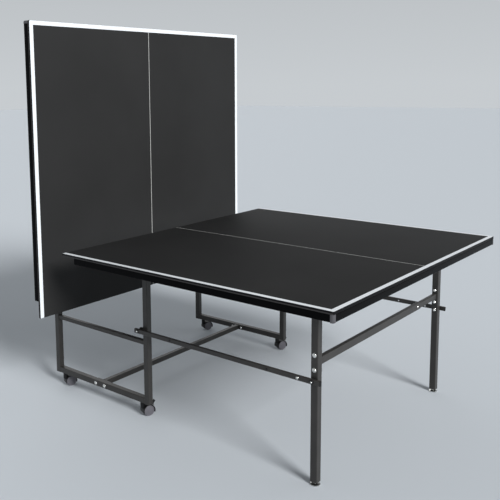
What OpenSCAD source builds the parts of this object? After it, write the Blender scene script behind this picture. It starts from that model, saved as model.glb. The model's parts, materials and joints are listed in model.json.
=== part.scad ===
// Folding table-tennis table on a rolling undercarriage, set for playing alone:
// the play half lies flat on its leg frame, and the playback half stands upright.
// X runs along the table, Y across it and Z up. The origin is on the floor, below the
// middle of the overall length as the table stands here. "Left" is -Y, "right" is +Y,
// "front" is the play end (+X) and "rear" the playback end (-X).

/* [Table top] */
// Length of one half of the table top
half_length = 1370; // [1000:5:1400]
// Width of the table top
top_width = 1525; // [1300:5:1600]
// Height of the playing surface above the floor
top_height = 760; // [740:1:780]
// Thickness of each board
board_thickness = 12; // [9:1:18]
// Depth of the steel apron below the board
apron_depth = 27; // [20:1:40]
// Distance from the net edge of a board to where its side aprons start
apron_setback = 80; // [60:5:110]
// Gap between the two boards when both lie flat
net_gap = 5; // [4:0.5:10]

/* [Folding linkage] */
// Distance of each half's fold pivot from the net line
fold_pivot_x = 255; // [240:1:270]
// Height of the fold pivots
fold_pivot_z = 676; // [670:1:690]
// Distance of the link bars' inner pivots from the net line
link_pivot_x = 285; // [280:1:290]
// Height of the link bars
link_pivot_z = 413; // [405:1:420]
// How far each half is folded: 0 is flat, 90 is upright
play_fold = 0; // [0:5:90]
// Fold of the playback half
playback_fold = 90; // [0:5:90]

/* [Leg frames] */
// Distance of the legs' centres from the net line
leg_x = 1183; // [1160:1:1200]
// Distance of the legs' centres from the middle of the table
leg_y = 550; // [540:1:560]
// Side of the square leg tube
leg_size = 30; // [28:1:32]
// Height of the crossbar between the legs
crossbar_z = 481; // [475:1:500]
// Position of the bolt that joins the crossbar's two pieces
lap_y = 318; // [250:1:360]

/* [Undercarriage] */
// Distance of the posts' centres from the net line
post_x = 310; // [308:1:320]
// Distance of the side frames from the middle of the table
frame_y = 545; // [540:1:550]
// Side of the square post and base rail tubes
frame_size = 28; // [26:1:30]
// Height of the underside of the base rails
rail_bottom = 68; // [66:1:72]
// Height of the post tops
post_top = 690; // [685:1:700]
// Middle height of the upper rails
upper_rail_z = 354; // [340:1:370]
// Side of the square upper rail tube
upper_rail_size = 20; // [16:1:25]

/* [Casters] */
// Distance of the caster stems from the net line
stem_x = 272; // [250:1:280]
// Radius of the caster wheels
wheel_radius = 25; // [22:1:26]
// Distance that each wheel trails behind its stem
caster_trail = 25; // [20:1:28]
// Direction that the casters point in, turned from +X
caster_angle = 68; // [0:1:359]

/* [Hidden] */

$fn = 48;

// Colours
steel_colour = [0.16, 0.16, 0.17];
board_colour = [0.13, 0.13, 0.14];
plastic_colour = [0.08, 0.08, 0.09];
cap_colour = [0.36, 0.36, 0.38];
wheel_colour = [0.42, 0.41, 0.45];
zinc_colour = [0.85, 0.86, 0.88];

// Steel sections
wall = 1.5;
corner_radius = 3;
cap_thickness = 3;
cap_insert = 15;
sheet = 1.5;
plate = 4;
flange = 3;

// Fits: a shaft that turns in its hole, a bolt clamped in its hole, two parts that slide by
running = 0.06;
clamped = 0.2;
side_gap = 0.5;

// Fasteners
bolt_radius = 4;
head_radius = 9;
hinge_head_radius = 8;
head_height = 4.5;
nut_radius = 7.5;
nut_height = 6;
bolt_end = 2;
small_bolt_radius = 3;
small_head_radius = 6;
small_head_height = 3;
small_nut_radius = 5.5;
small_nut_height = 3.5;
spacer_radius = 8;
pivot_flange_radius = 9;
pivot_flange = 2.5;
cap_nut_radius = 4.5;
cap_nut_height = 3;

// Table top
board_end = net_gap / 2 + half_length;
board_bottom = top_height - board_thickness;
apron_flange = 20;
apron_start = net_gap / 2 + apron_setback;
protector_size = 14;
protector_radius = 8;
protector_wall = 3;
protector_lip = 1.5;
cross_rail_size = 25;
cross_rail_half = top_width / 2 - apron_flange - 3;
cross_rail_z = board_bottom - cross_rail_size / 2;

// Linkage: an exact parallelogram, so the legs stay upright while their half folds
link_length = leg_x - link_pivot_x;
leg_hinge_x = fold_pivot_x + link_length;
lug_radius = 12;
ear_gap = plate / 2 + side_gap;

// Link bars, outside the legs and the posts
link_height = 20;
link_thickness = 12;
link_inner_y = leg_y + leg_size / 2 + 7;
link_outer_y = link_inner_y + link_thickness;
link_y = (link_inner_y + link_outer_y) / 2;
link_tail = 34;
link_start = link_pivot_x - 16;
link_hole_radius = 3.5;
link_end = leg_x + link_tail;
link_bolt_x = leg_x - 62;
link_hole_x = [link_pivot_x + 195, leg_x - 200];
plug_insert = 6;
plug_head = 2.5;

// Legs
leg_bottom = 14;
leg_top = 700;
crossbar_width = 20;
crossbar_height = 30;
lap_length = 30;
lap_gap = 0.3;
flange_bolt_spread = 28.5;
flange_half_height = 42;
flange_half_width = 12.5;
leg_inner_y = leg_y - leg_size / 2;
leg_outer_y = leg_y + leg_size / 2;
foot_plug_head = 1.5;
foot_insert = 45;
foot_stem_radius = 5;
foot_stem_top = 50;
foot_radius = 20;
foot_disc = 3.5;
foot_hexagon = 4.5;

// Undercarriage
frame_inner_y = frame_y - frame_size / 2;
frame_outer_y = frame_y + frame_size / 2;
post_inner_x = post_x - frame_size / 2;
base_rail_z = rail_bottom + frame_size / 2;
base_crossbar_size = 25;
base_bolt_spread = 30;
base_flange_half = 44;

// Casters, each built about its stem with the wheels trailing towards +X
hood_outer = wheel_radius + 4;
hood_inner = wheel_radius + 1.3;
hood_half_width = 21;
hood_bottom = wheel_radius - 9;
web_half = 4;
wheel_inner_y = 4.8;
wheel_outer_y = 20;
axle_radius = 3;
stem_radius = 5;
stem_bottom = 46;
stem_top = rail_bottom + 20;
stem_collar_radius = 9;
boss_radius = 11;
boss_top = rail_bottom - 2;
boss_taper = 7;
boss_bottom = stem_bottom - boss_taper - 6;
pedal_angle = 48;
pedal_rise = 52;
pedal_length = 19;
pedal_half_width = 9;
pedal_thickness = 2.4;
pedal_pin_radius = 2.2;
pedal_ear = 2.5;
pedal_pin_reach = pedal_half_width + side_gap + pedal_ear;
pedal_pivot_x = caster_trail + (hood_outer + 2.6) * cos(pedal_angle);
pedal_pivot_z = wheel_radius + (hood_outer + 2.6) * sin(pedal_angle);

// The net line, placed so that the origin is below the middle of the overall length
net_x = (post_x + frame_size / 2 - board_end) / 2;

// ---- Where things go ----

module mirror_if(flip, axis) {
  if (flip) mirror(axis) children();
  else children();
}

// A part drawn at +Y, moved to its own side
module on_side(side) mirror_if(side == "left", [0, 1, 0]) children();

module both_sides() {
  children();
  mirror([0, 1, 0]) children();
}

// A part drawn at +X of the net line, moved to its own half
module at_half(half) translate([net_x, 0, 0]) mirror_if(half == "playback", [1, 0, 0]) children();

module all_corners() {
  for (half = ["play", "playback"]) at_half(half) both_sides() children();
}

function fold_of(half) = half == "play" ? play_fold : playback_fold;

module turned_about(x, z, angle) {
  translate([x, 0, z]) rotate([0, -angle, 0]) translate([-x, 0, -z]) children();
}

// Drawn flat, then folded with its half about the fold pivots
module with_half(half) {
  at_half(half) turned_about(fold_pivot_x, fold_pivot_z, fold_of(half)) children();
}

// Drawn with the legs down, then carried upright along the leg hinges' arc
module with_legs(half) {
  angle = fold_of(half);
  at_half(half)
    translate([link_length * (cos(angle) - 1), 0, link_length * sin(angle)]) children();
}

// Drawn level, then swung about the link bars' inner pivots
module with_links(half) {
  at_half(half) turned_about(link_pivot_x, link_pivot_z, fold_of(half)) children();
}

// ---- Shapes that repeat ----

module rounded_rect(width, height, radius) {
  square([width - 2 * radius, height], center = true);
  square([width, height - 2 * radius], center = true);
  for (x = [-1, 1], y = [-1, 1])
    translate([x * (width / 2 - radius), y * (height / 2 - radius)]) circle(radius);
}

module tube_section(width, height) {
  difference() {
    rounded_rect(width, height, corner_radius);
    rounded_rect(width - 2 * wall, height - 2 * wall, corner_radius - wall);
  }
}

// Tubes along each axis, from one end to the other
module tube_x(from, to, size_y, size_z) {
  translate([from, 0, 0]) rotate([0, 90, 0]) linear_extrude(to - from) tube_section(size_z, size_y);
}

module tube_y(from, to, size_x, size_z) {
  translate([0, from, 0]) rotate([-90, 0, 0]) linear_extrude(to - from) tube_section(size_x, size_z);
}

module tube_z(from, to, size) {
  translate([0, 0, from]) linear_extrude(to - from) tube_section(size, size);
}

module rod_y(from, to, radius) {
  translate([0, from, 0]) rotate([-90, 0, 0]) cylinder(h = to - from, r = radius);
}

module box(low, high) {
  translate(low) cube(high - low);
}

// A plug for a tube's end, with its head outside at z = 0 and up, and its insert below
module tube_plug(size, head, insert) {
  linear_extrude(head) rounded_rect(size, size, corner_radius);
  translate([0, 0, -insert])
    linear_extrude(insert) rounded_rect(size - 2 * wall, size - 2 * wall, corner_radius - wall);
}

// A low dome standing on z = 0
module dome(radius, height) {
  ball = (radius * radius + height * height) / (2 * height);
  intersection() {
    translate([0, 0, height - ball]) sphere(ball);
    cylinder(h = height, r = radius + 1);
  }
}

module dome_y(at, radius, height) {
  translate([0, at, 0]) rotate([-90, 0, 0]) dome(radius, height);
}

module nut_y(from, to, radius) {
  translate([0, from, 0]) rotate([-90, 0, 0]) cylinder(h = to - from, r = radius, $fn = 6);
}

// A shank along Y with a nut on its inner end, against a face at "inner"
module nutted_shank(inner, outer) {
  rod_y(inner - nut_height - bolt_end, outer, bolt_radius);
  nut_y(inner - nut_height, inner, nut_radius);
}

// A round-headed bolt along Y: head outside at "outer", nut ending inside at "inner"
module frame_bolt(inner, outer, radius = head_radius) {
  nutted_shank(inner, outer);
  dome_y(outer, radius, head_height);
}

// A link pivot: a shank through the bar, a spacer inside it, and a flanged cap nut outside it
module link_pivot_bolt(inner, outer) {
  flange_face = link_outer_y + side_gap;
  nutted_shank(inner, flange_face);
  rod_y(outer, link_inner_y - side_gap, spacer_radius);
  rod_y(flange_face, flange_face + pivot_flange, pivot_flange_radius);
  dome_y(flange_face + pivot_flange, cap_nut_radius, cap_nut_height);
}

// A bolt through a pair of ears, drawn about the middle of the lug between them
module hinge_bolt() {
  reach = ear_gap + plate + side_gap;
  frame_bolt(-reach, reach, hinge_head_radius);
}

// A small bolt along Y through a tube, from its inner face to its outer face
module small_bolt(inner, outer) {
  rod_y(inner - small_nut_height - 1, outer, small_bolt_radius);
  dome_y(outer, small_head_radius, small_head_height);
  nut_y(inner - small_nut_height, inner, small_nut_radius);
}

// A flat lug in the XZ plane: round about the origin, and straight to its weld at "reach" along X
module lug(reach, hole_radius) {
  difference() {
    union() {
      rod_y(-plate / 2, plate / 2, lug_radius);
      box([0, -plate / 2, -lug_radius], [reach, plate / 2, lug_radius]);
    }
    rod_y(-plate, plate, hole_radius);
    box([reach, -plate, -2 * lug_radius], [reach + lug_radius, plate, 2 * lug_radius]);
  }
}

// A pair of ears about a hinge, welded under a cross rail at height "top" above it
module ears(top) {
  for (side = [-1, 1]) translate([0, side * (ear_gap + plate / 2), 0]) difference() {
    union() {
      rod_y(-plate / 2, plate / 2, lug_radius);
      box([-lug_radius, -plate / 2, 0], [lug_radius, plate / 2, top]);
    }
    rod_y(-plate, plate, bolt_radius + running);
  }
}

// ---- Undercarriage ----

module post(half, side) {
  color(steel_colour) at_half(half) on_side(side)
    translate([post_x, frame_y, 0]) tube_z(rail_bottom, post_top, frame_size);
}

module base_rail(side) {
  color(steel_colour) on_side(side) translate([net_x, frame_y, base_rail_z]) difference() {
    tube_x(-post_inner_x, post_inner_x, frame_size, frame_size);
    for (x = [-base_bolt_spread, base_bolt_spread])
      translate([x, 0, 0]) rod_y(-frame_size, frame_size, bolt_radius + clamped);
    for (x = [-stem_x, stem_x])
      translate([x, 0, -frame_size]) cylinder(h = frame_size, r = stem_radius + clamped);
  }
}

module upper_rails() {
  color(steel_colour) both_sides() translate([net_x, frame_y, upper_rail_z])
    tube_x(-post_inner_x, post_inner_x, upper_rail_size, upper_rail_size);
}

module base_crossbar() {
  flange_face = frame_inner_y - flange;
  color(steel_colour) translate([net_x, 0, base_rail_z]) {
    tube_y(-flange_face, flange_face, base_crossbar_size, base_crossbar_size);
    both_sides() difference() {
      box(
        [-base_flange_half, flange_face, -base_crossbar_size / 2],
        [base_flange_half, frame_inner_y, base_crossbar_size / 2]
      );
      for (x = [-base_bolt_spread, base_bolt_spread])
        translate([x, flange_face, 0]) rod_y(-1, flange + 1, bolt_radius + clamped);
    }
  }
}

module base_crossbar_bolts() {
  color(zinc_colour) both_sides() for (x = [-base_bolt_spread, base_bolt_spread])
    translate([net_x + x, 0, base_rail_z]) frame_bolt(frame_inner_y - flange, frame_outer_y);
}

// Welded lugs: one at each fold pivot, and one at each link bar's inner pivot
module pivot_lugs() {
  color(steel_colour) all_corners() {
    translate([fold_pivot_x, frame_y, fold_pivot_z])
      lug(post_inner_x - fold_pivot_x, bolt_radius + clamped);
    translate([link_pivot_x, frame_outer_y - plate / 2, link_pivot_z])
      lug(post_inner_x - link_pivot_x, bolt_radius + clamped);
  }
}

module pivot_bolts() {
  color(zinc_colour) all_corners() {
    translate([fold_pivot_x, frame_y, fold_pivot_z]) hinge_bolt();
    translate([link_pivot_x, 0, link_pivot_z])
      link_pivot_bolt(frame_outer_y - plate, frame_outer_y);
  }
}

module post_caps() {
  color(plastic_colour) all_corners()
    translate([post_x, frame_y, post_top]) tube_plug(frame_size, cap_thickness, cap_insert);
}

module caster_stems() {
  color(zinc_colour) all_corners() translate([stem_x, frame_y, 0]) {
    translate([0, 0, stem_bottom]) cylinder(h = stem_top - stem_bottom, r = stem_radius);
    translate([0, 0, boss_top + side_gap])
      cylinder(h = rail_bottom - boss_top - side_gap, r = stem_collar_radius);
  }
}

// ---- Casters ----

module at_caster(half, side) {
  direction = side == "left" ? 1 : -1;
  x = half == "play" ? stem_x : -stem_x;
  translate([net_x + x, -direction * frame_y, 0]) rotate([0, 0, caster_angle]) children();
}

// A fender over both wheels, the web between them, and the boss on the stem
module caster_hood(half, side) {
  color(plastic_colour) at_caster(half, side) difference() {
    union() {
      translate([caster_trail, 0, wheel_radius])
        rod_y(-hood_half_width, hood_half_width, hood_outer);
      translate([0, 0, boss_bottom]) cylinder(h = boss_taper, r1 = boss_radius / 2, r2 = boss_radius);
      translate([0, 0, boss_bottom + boss_taper])
        cylinder(h = boss_top - boss_bottom - boss_taper, r = boss_radius);
      if (half == "play") both_sides() translate([pedal_pivot_x, 0, pedal_pivot_z])
        rod_y(pedal_half_width + side_gap, pedal_pin_reach, 2 * pedal_pin_radius);
    }
    translate([caster_trail, 0, wheel_radius]) {
      both_sides() rod_y(web_half, hood_half_width + 1, hood_inner);
      rod_y(-hood_outer, hood_outer, axle_radius + running);
    }
    box([-hood_outer, -hood_outer, -10], [3 * hood_outer, hood_outer, hood_bottom]);
    translate([0, 0, stem_bottom - side_gap])
      cylinder(h = boss_top, r = stem_radius + running);
    translate([pedal_pivot_x, 0, pedal_pivot_z])
      rod_y(-hood_outer, hood_outer, pedal_pin_radius + running);
  }
}

// Twin wheels with domed faces, pressed on one axle
module caster_wheels(half, side) {
  color(wheel_colour) at_caster(half, side) translate([caster_trail, 0, wheel_radius]) {
    rod_y(-wheel_inner_y, wheel_inner_y, axle_radius);
    both_sides() translate([0, wheel_inner_y, 0]) rotate([-90, 0, 0]) rotate_extrude()
      polygon([
        [0, 0], [wheel_radius - 1.5, 0], [wheel_radius, 1.5], [wheel_radius, 11],
        [wheel_radius - 1.5, 13], [wheel_radius - 4, 13.6], [wheel_radius - 5, 13],
        [wheel_radius - 7, 13.2], [8, wheel_outer_y - wheel_inner_y], [0, wheel_outer_y - wheel_inner_y],
      ]);
  }
}

// A pedal over the wheels' far side, hinged on the hood and pressed down to brake
module brake_pedal(side) {
  color(plastic_colour) at_caster("play", side)
    translate([pedal_pivot_x, 0, pedal_pivot_z]) {
      rod_y(-pedal_pin_reach, pedal_pin_reach, pedal_pin_radius);
      rotate([0, -pedal_rise, 0]) {
        box(
          [0, -pedal_half_width, -pedal_thickness / 2],
          [pedal_length, pedal_half_width, pedal_thickness / 2]
        );
        translate([pedal_length, 0, 0]) rod_y(-pedal_half_width, pedal_half_width, pedal_thickness * 0.7);
      }
    }
}

// ---- Table halves ----

module board(half) {
  color(board_colour) with_half(half)
    box([net_gap / 2, -top_width / 2, board_bottom], [board_end, top_width / 2, top_height]);
}

// A steel angle: its web at y = 0 hangs down from z = 0, and its flange runs to -Y
module angle_section() {
  polygon([
    [0, 0], [0, -apron_depth], [-sheet, -apron_depth],
    [-sheet, -sheet], [-apron_flange, -sheet], [-apron_flange, 0],
  ]);
}

module side_aprons(half) {
  color(steel_colour) with_half(half) both_sides()
    translate([apron_start, top_width / 2, board_bottom]) rotate([90, 0, 90])
      linear_extrude(board_end - protector_size - apron_start) angle_section();
}

module end_apron(half) {
  reach = top_width / 2 - apron_flange - 1;
  color(steel_colour) with_half(half) translate([board_end, 0, board_bottom]) {
    rotate([90, 0, 0]) translate([0, 0, -reach]) linear_extrude(2 * reach) angle_section();
    both_sides() box([-sheet, reach, -apron_depth], [0, top_width / 2 - protector_size, 0]);
  }
}

// Rounded caps that close the apron at the two outer corners
module corner_protectors(half) {
  inner = protector_size - protector_wall;
  color(cap_colour) with_half(half) both_sides()
    translate([board_end, top_width / 2, board_bottom]) difference() {
      translate([0, 0, -apron_depth - protector_lip])
        linear_extrude(apron_depth + protector_lip) intersection() {
          translate([-protector_size, -protector_size]) square(protector_size);
          union() {
            translate([-protector_radius, -protector_radius]) circle(protector_radius);
            translate([-30, -30]) square([30 - protector_radius, 30]);
            translate([-30, -30]) square([30, 30 - protector_radius]);
          }
        }
      translate([-protector_size - 1, -protector_size - 1, -apron_depth])
        cube([inner + 1, inner + 1, apron_depth + 1]);
    }
}

// Two tubes across the underside, over the fold pivots and over the leg hinges
module cross_rails(half) {
  color(steel_colour) with_half(half) for (x = [fold_pivot_x, leg_hinge_x])
    translate([x, 0, cross_rail_z])
      tube_y(-cross_rail_half, cross_rail_half, cross_rail_size, cross_rail_size);
}

// Ears down from the cross rails to the fold pivots and to the leg hinges
module hinge_ears(half) {
  top = board_bottom - cross_rail_size - fold_pivot_z;
  color(steel_colour) with_half(half) both_sides() {
    translate([fold_pivot_x, frame_y, fold_pivot_z]) ears(top);
    translate([leg_hinge_x, leg_y, fold_pivot_z]) ears(top);
  }
}

// ---- Leg frames ----

// A leg tube with the hinge lug welded to its inner side
module leg(half, side) {
  color(steel_colour) with_legs(half) on_side(side) {
    translate([leg_x, leg_y, 0]) difference() {
      tube_z(leg_bottom, leg_top, leg_size);
      for (z = [link_pivot_z, crossbar_z - flange_bolt_spread, crossbar_z + flange_bolt_spread])
        translate([0, 0, z]) rod_y(-leg_size, leg_size, bolt_radius + clamped);
    }
    translate([leg_hinge_x, leg_y, fold_pivot_z])
      lug(leg_x - leg_size / 2 + wall / 2 - leg_hinge_x, bolt_radius + clamped);
  }
}

// A plate bolted to a leg's inner face, drawn on the right
module leg_flange() {
  difference() {
    box(
      [-flange_half_width, leg_inner_y - flange, -flange_half_height],
      [flange_half_width, leg_inner_y, flange_half_height]
    );
    for (z = [-flange_bolt_spread, flange_bolt_spread])
      translate([0, leg_inner_y - flange - 1, z]) rod_y(0, flange + 2, bolt_radius + clamped);
  }
}

module lap_hole() {
  translate([-crossbar_width, lap_y, 0]) rotate([0, 90, 0])
    cylinder(h = 2 * crossbar_width, r = small_bolt_radius + clamped);
}

// The crossbar's long outer piece, fixed to the left leg
module crossbar_sleeve(half) {
  color(steel_colour) with_legs(half) translate([leg_x, 0, crossbar_z]) {
    difference() {
      tube_y(flange - leg_inner_y, lap_y + lap_length, crossbar_width, crossbar_height);
      lap_hole();
    }
    mirror([0, 1, 0]) leg_flange();
  }
}

// The crossbar's short inner piece, fixed to the right leg
module crossbar_insert(half) {
  shrink = 2 * (wall + lap_gap);
  color(steel_colour) with_legs(half) translate([leg_x, 0, crossbar_z]) {
    difference() {
      tube_y(
        lap_y - lap_length, leg_inner_y - flange,
        crossbar_width - shrink, crossbar_height - shrink
      );
      lap_hole();
    }
    leg_flange();
  }
}

// The leg frame's bolts: crossbar flanges, lap, link pivots and leg hinges
module leg_bolts(half) {
  color(zinc_colour) with_legs(half) {
    both_sides() {
      for (z = [-flange_bolt_spread, flange_bolt_spread])
        translate([leg_x, 0, crossbar_z + z]) frame_bolt(leg_inner_y - flange, leg_outer_y);
      translate([leg_x, 0, link_pivot_z]) link_pivot_bolt(leg_inner_y, leg_outer_y);
      translate([leg_hinge_x, leg_y, fold_pivot_z]) hinge_bolt();
    }
    translate([leg_x, lap_y, crossbar_z]) rotate([0, 0, -90])
      small_bolt(-crossbar_width / 2, crossbar_width / 2);
  }
}

// Plugs in the legs: a cap on top, and a threaded insert for the leveller below
module leg_plugs(half) {
  color(plastic_colour) with_legs(half) both_sides() translate([leg_x, leg_y, 0]) {
    translate([0, 0, leg_top]) tube_plug(leg_size, cap_thickness, cap_insert);
    translate([0, 0, leg_bottom]) difference() {
      mirror([0, 0, 1]) tube_plug(leg_size, foot_plug_head, foot_insert);
      translate([0, 0, -foot_plug_head - 1])
        cylinder(h = foot_plug_head + foot_insert + 2, r = foot_stem_radius + running);
    }
  }
}

// A screw foot: a disc on the floor, a cone, a hexagon and its threaded stem
module leveller(half, side) {
  color(zinc_colour) with_legs(half) on_side(side) translate([leg_x, leg_y, 0]) {
    cylinder(h = foot_disc, r = foot_radius);
    translate([0, 0, foot_disc]) cylinder(h = foot_disc, r1 = foot_radius - 2, r2 = 9);
    translate([0, 0, 2 * foot_disc]) cylinder(h = foot_hexagon, r = 8, $fn = 6);
    translate([0, 0, 2 * foot_disc]) cylinder(h = foot_stem_top - 2 * foot_disc, r = foot_stem_radius);
  }
}

// ---- Link bars ----

module link(half, side) {
  color(steel_colour) with_links(half) on_side(side)
    translate([0, link_y, link_pivot_z]) difference() {
      tube_x(link_start, link_end, link_thickness, link_height);
      translate([link_pivot_x, 0, 0])
        rod_y(-link_thickness, link_thickness, bolt_radius + running);
      translate([leg_x, 0, 0])
        rod_y(-link_thickness, link_thickness, bolt_radius + clamped);
      translate([link_bolt_x, 0, 0])
        rod_y(-link_thickness, link_thickness, small_bolt_radius + clamped);
      for (x = link_hole_x) translate([x, 0, 0]) rod_y(0, link_thickness, link_hole_radius);
    }
}

// End plugs for a link bar, and the small bolt through it near the leg
module link_fittings(half, side) {
  color(plastic_colour) with_links(half) on_side(side) translate([0, link_y, link_pivot_z]) {
    for (end = [0, 1])
      translate([end == 0 ? link_start : link_end, 0, 0]) mirror_if(end == 0, [1, 0, 0]) {
        rotate([0, 90, 0]) linear_extrude(plug_head)
          rounded_rect(link_height, link_thickness, corner_radius);
        translate([-plug_insert, 0, 0]) rotate([0, 90, 0]) linear_extrude(plug_insert)
          rounded_rect(link_height - 2 * wall, link_thickness - 2 * wall, corner_radius - wall);
      }
    translate([link_bolt_x, 0, 0]) small_bolt(-link_thickness / 2, link_thickness / 2);
  }
}

// ---- Nodes ----

post("play", "left");  // left_front_post
post("playback", "left");  // left_rear_post
post("play", "right");  // right_front_post
post("playback", "right");  // right_rear_post
base_rail("left");  // left_base_rail
base_rail("right");  // right_base_rail
upper_rails();
base_crossbar();
base_crossbar_bolts();
pivot_lugs();
pivot_bolts();
post_caps();
caster_stems();

caster_hood("play", "left");  // left_front_caster_hood
caster_hood("playback", "left");  // left_rear_caster_hood
caster_hood("play", "right");  // right_front_caster_hood
caster_hood("playback", "right");  // right_rear_caster_hood
caster_wheels("play", "left");  // left_front_caster_wheels
caster_wheels("playback", "left");  // left_rear_caster_wheels
caster_wheels("play", "right");  // right_front_caster_wheels
caster_wheels("playback", "right");  // right_rear_caster_wheels
brake_pedal("left");  // left_brake_pedal
brake_pedal("right");  // right_brake_pedal

board("play");  // play_board
side_aprons("play");  // play_side_aprons
end_apron("play");  // play_end_apron
corner_protectors("play");  // play_corner_protectors
cross_rails("play");  // play_cross_rails
hinge_ears("play");  // play_hinge_ears
leg("play", "left");  // play_left_leg
leg("play", "right");  // play_right_leg
crossbar_sleeve("play");  // play_crossbar_sleeve
crossbar_insert("play");  // play_crossbar_insert
leg_bolts("play");  // play_leg_bolts
leg_plugs("play");  // play_leg_plugs
leveller("play", "left");  // play_left_leveller
leveller("play", "right");  // play_right_leveller
link("play", "left");  // play_left_link
link("play", "right");  // play_right_link
link_fittings("play", "left");  // play_left_link_fittings
link_fittings("play", "right");  // play_right_link_fittings

board("playback");  // playback_board
side_aprons("playback");  // playback_side_aprons
end_apron("playback");  // playback_end_apron
corner_protectors("playback");  // playback_corner_protectors
cross_rails("playback");  // playback_cross_rails
hinge_ears("playback");  // playback_hinge_ears
leg("playback", "left");  // playback_left_leg
leg("playback", "right");  // playback_right_leg
crossbar_sleeve("playback");  // playback_crossbar_sleeve
crossbar_insert("playback");  // playback_crossbar_insert
leg_bolts("playback");  // playback_leg_bolts
leg_plugs("playback");  // playback_leg_plugs
leveller("playback", "left");  // playback_left_leveller
leveller("playback", "right");  // playback_right_leveller
link("playback", "left");  // playback_left_link
link("playback", "right");  // playback_right_link
link_fittings("playback", "left");  // playback_left_link_fittings
link_fittings("playback", "right");  // playback_right_link_fittings
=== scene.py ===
"""The looks of a folding table-tennis table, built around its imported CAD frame.

Lengths are in metres. +X runs towards the play end, +Y across the table and +Z up. What belongs
to a half is drawn as it lies with the table flat, with X counted from the net line and on the +Y
side, and is then placed where its half, leg frame or link bar stands at rest."""

import json
import math

import bmesh
import bpy
from mathutils import Matrix, Vector


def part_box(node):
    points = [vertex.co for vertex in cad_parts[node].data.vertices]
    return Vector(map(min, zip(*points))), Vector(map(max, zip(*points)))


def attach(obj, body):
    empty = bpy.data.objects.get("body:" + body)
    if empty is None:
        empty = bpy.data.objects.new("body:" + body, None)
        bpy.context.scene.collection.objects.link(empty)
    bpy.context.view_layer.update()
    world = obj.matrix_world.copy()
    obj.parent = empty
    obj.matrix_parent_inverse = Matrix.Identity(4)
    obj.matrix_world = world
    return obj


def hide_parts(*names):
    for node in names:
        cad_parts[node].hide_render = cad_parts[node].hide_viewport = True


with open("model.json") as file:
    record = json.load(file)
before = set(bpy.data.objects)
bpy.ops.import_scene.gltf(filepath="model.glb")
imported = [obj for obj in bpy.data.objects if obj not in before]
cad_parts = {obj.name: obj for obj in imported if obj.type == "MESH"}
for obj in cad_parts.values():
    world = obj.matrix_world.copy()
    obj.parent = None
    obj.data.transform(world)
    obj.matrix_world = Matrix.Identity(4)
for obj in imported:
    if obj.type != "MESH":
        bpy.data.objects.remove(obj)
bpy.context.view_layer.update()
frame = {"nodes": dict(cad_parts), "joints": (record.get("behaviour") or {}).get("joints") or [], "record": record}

MM = 0.001
HALVES = ("play", "playback")
X_AXIS, Y_AXIS, Z_AXIS = Vector((1, 0, 0)), Vector((0, 1, 0)), Vector((0, 0, 1))
SIDES = {"left": Matrix.Scale(-1, 4, Y_AXIS), "right": Matrix()}

# ---- Measures, read from the frame ----

JOINTS = {joint["name"]: joint for joint in frame["joints"]}


def pivot(name):
    return Vector(JOINTS[name]["pos_m"])


def size_of(node):
    low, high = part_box(node)
    return high - low


NET_X = (pivot("play_fold").x + pivot("playback_fold").x) / 2
FOLD_X, FOLD_Z = pivot("play_fold").x - NET_X, pivot("play_fold").z
LINK_X, LINK_Z = pivot("play_left_link_hinge").x - NET_X, pivot("play_left_link_hinge").z
HINGE_X = pivot("play_leg_hinge").x - NET_X
LINK_LENGTH = HINGE_X - FOLD_X
LEG_X = LINK_X + LINK_LENGTH
LINK_Y = pivot("play_right_link_hinge").y

board_low, board_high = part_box("play_board")
BOARD_START, BOARD_END = board_low.x - NET_X, board_high.x - NET_X
BOARD_HALF = board_high.y
BOARD_BOTTOM, BOARD_TOP = board_low.z, board_high.z
apron_low, apron_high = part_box("play_side_aprons")
APRON_START, APRON_END = apron_low.x - NET_X, apron_high.x - NET_X
APRON_DEPTH = apron_high.z - apron_low.z
END_APRON_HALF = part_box("play_end_apron")[1].y
leg_low, leg_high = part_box("play_right_leg")
LEG_OUTER_Y = leg_high.y
LEG_SIZE = 30 * MM
LEG_Y = LEG_OUTER_Y - LEG_SIZE / 2
LEG_BOTTOM, LEG_TOP = leg_low.z, leg_high.z
post_low, post_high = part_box("right_front_post")
POST_X, POST_Y = (post_low.x + post_high.x) / 2 - NET_X, (post_low.y + post_high.y) / 2
POST_SIZE = post_high.x - post_low.x
POST_TOP = post_high.z
BASE_RAIL_Z = post_low.z + POST_SIZE / 2
RAIL_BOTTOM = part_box("play_cross_rails")[0].z
sleeve_low, sleeve_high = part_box("play_crossbar_sleeve")
CROSSBAR_Z = (sleeve_low.z + sleeve_high.z) / 2
link_low, link_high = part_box("play_right_link")
LINK_START, LINK_END = link_low.x - NET_X, link_high.x - NET_X
LINK_INNER_Y, LINK_OUTER_Y = link_low.y, link_high.y
LINK_HEIGHT, LINK_THICKNESS = link_high.z - link_low.z, link_high.y - link_low.y

# The frame's own fits and fasteners
WALL = 1.5 * MM
PLATE = 4 * MM
SIDE_GAP = 0.5 * MM
BOLT_RADIUS = 4 * MM
NUT_RADIUS, NUT_HEIGHT, BOLT_END = 7.5 * MM, 6 * MM, 2 * MM
EAR_MIDDLE = PLATE / 2 + SIDE_GAP + PLATE / 2
EAR_REACH = PLATE / 2 + SIDE_GAP + PLATE + SIDE_GAP
LUG_WIDTH = 24 * MM
FLANGE = 3 * MM
CROSSBAR = (20 * MM, 30 * MM)
LAP_GAP = 0.3 * MM
PLUG_WALL = WALL + 0.1 * MM
PLUG_HEAD, PLUG_INSERT = 3 * MM, 15 * MM
HEAD_RADIUS, HINGE_HEAD_RADIUS = 9 * MM, 8 * MM
PIVOT_FLANGE_RADIUS, PIVOT_FLANGE, SPACER_RADIUS = 9 * MM, 2.5 * MM, 8 * MM
FLANGE_BOLT_SPREAD = 28.5 * MM
LAP_BOLT_Y = 318 * MM
BASE_BOLT_SPREAD = 30 * MM
LINK_BOLT_X = LEG_X - 62 * MM
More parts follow.
